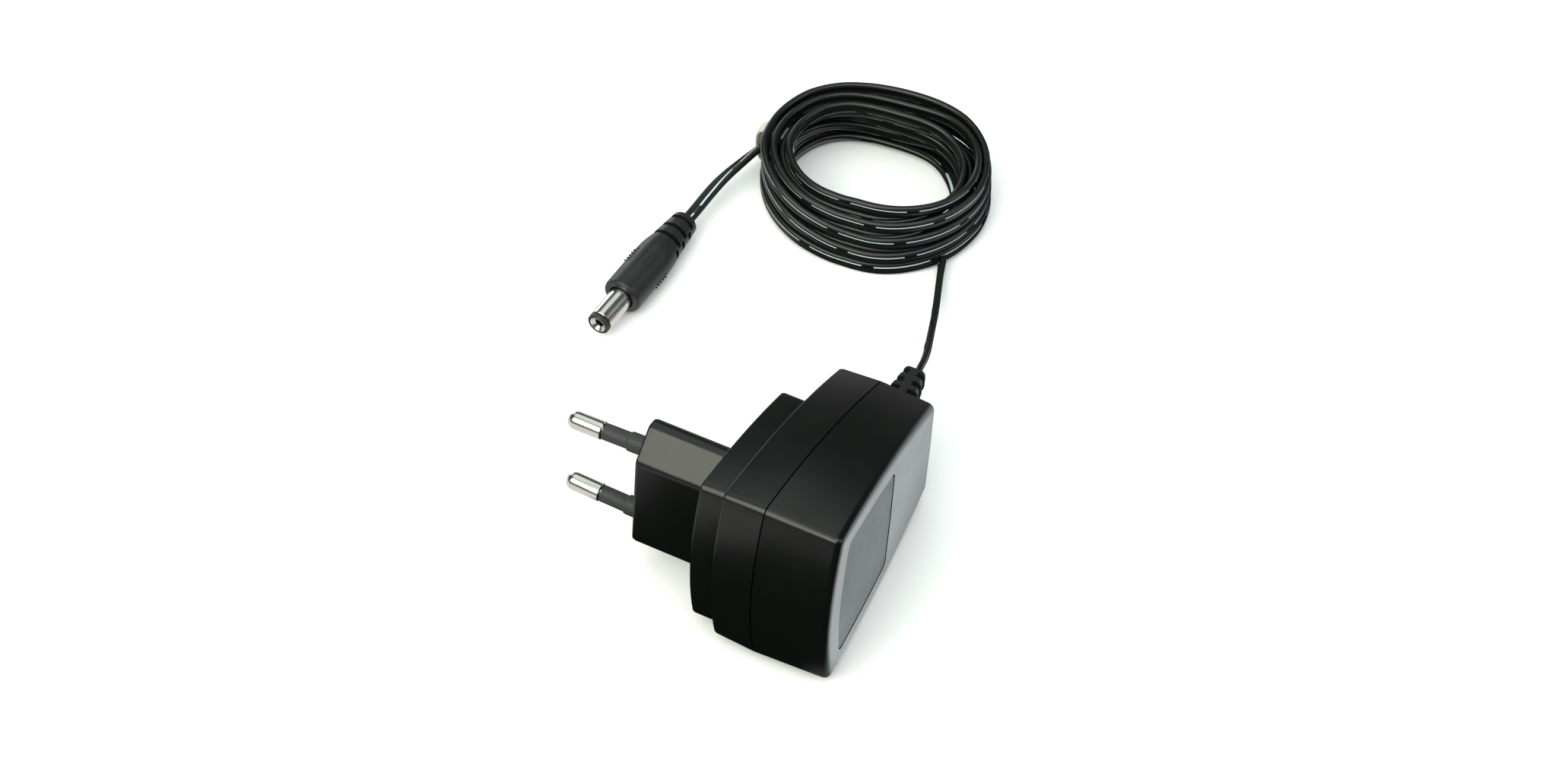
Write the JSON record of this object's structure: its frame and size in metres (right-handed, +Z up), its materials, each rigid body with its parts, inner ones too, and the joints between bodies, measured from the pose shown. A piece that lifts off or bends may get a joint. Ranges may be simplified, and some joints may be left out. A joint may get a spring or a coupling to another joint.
{
  "type": "plug-in power adapter",
  "caption": "Black plug-in mains adapter with sleeved round pins on a raised boss, a tapered two-shell housing, a slotted strain relief and a coiled flat lead ending in a barrel plug.",
  "frame": {"origin": "middle of the bottom of the adapter's own box, without the lead, its coil, its tie and the barrel plug; the adapter lies on one of its long sides", "axes": "+X from the mains pins towards the label face, +Y from the rounded wide end towards the strain relief and the lead, +Z up from the ground"},
  "size_m": [0.0922, 0.1544, 0.0431],
  "materials": {
    "housing": "satin moulded",
    "label": "satin film",
    "nickel": "bright nickel plate",
    "sleeve": "matt moulded",
    "contact_brass": "rolled strip",
    "cord": "soft satin",
    "tie": "satin",
    "board": "lacquered laminate",
    "can": "shrunk sleeve",
    "package": "moulded resin",
    "fuse": "lacquer",
    "ferrite": "ground ferrite",
    "tape": "taped",
    "disc_blue": "dipped lacquer",
    "disc_brown": "dipped lacquer",
    "wire_red": "insulation",
    "wire_black": "insulation"
  },
  "bodies": {
    "root": {"front_shell": "housing", "back_shell": "housing", "label_film": "label", "line_pin": "nickel", "neutral_pin": "nickel", "line_pin_sleeve": "sleeve", "neutral_pin_sleeve": "sleeve", "line_contact": "contact_brass", "neutral_contact": "contact_brass", "strain_relief": "cord", "circuit_board": "board", "input_capacitor_1": "can", "input_capacitor_2": "can", "fuse_resistor": "fuse", "filter_choke": "ferrite", "rectifier_diode_1": "package", "rectifier_diode_2": "package", "rectifier_diode_3": "package", "rectifier_diode_4": "package", "transformer_core_a": "ferrite", "transformer_core_b": "ferrite", "transformer_bobbin": "package", "transformer_winding": "tape", "controller_chip": "package", "snubber_capacitor": "disc_brown", "optocoupler": "package", "safety_capacitor": "disc_blue", "output_diode": "package", "output_capacitor_1": "can", "output_capacitor_2": "can", "output_wire_positive": "wire_red", "output_wire_negative": "wire_black", "cord_lead": "cord", "cord_coil": "cord", "cord_tail": "cord", "cord_tie": "tie", "plug_body": "cord", "plug_barrel": "nickel", "plug_insulator": "package", "plug_socket": "nickel"}
  },
  "joints": []
}
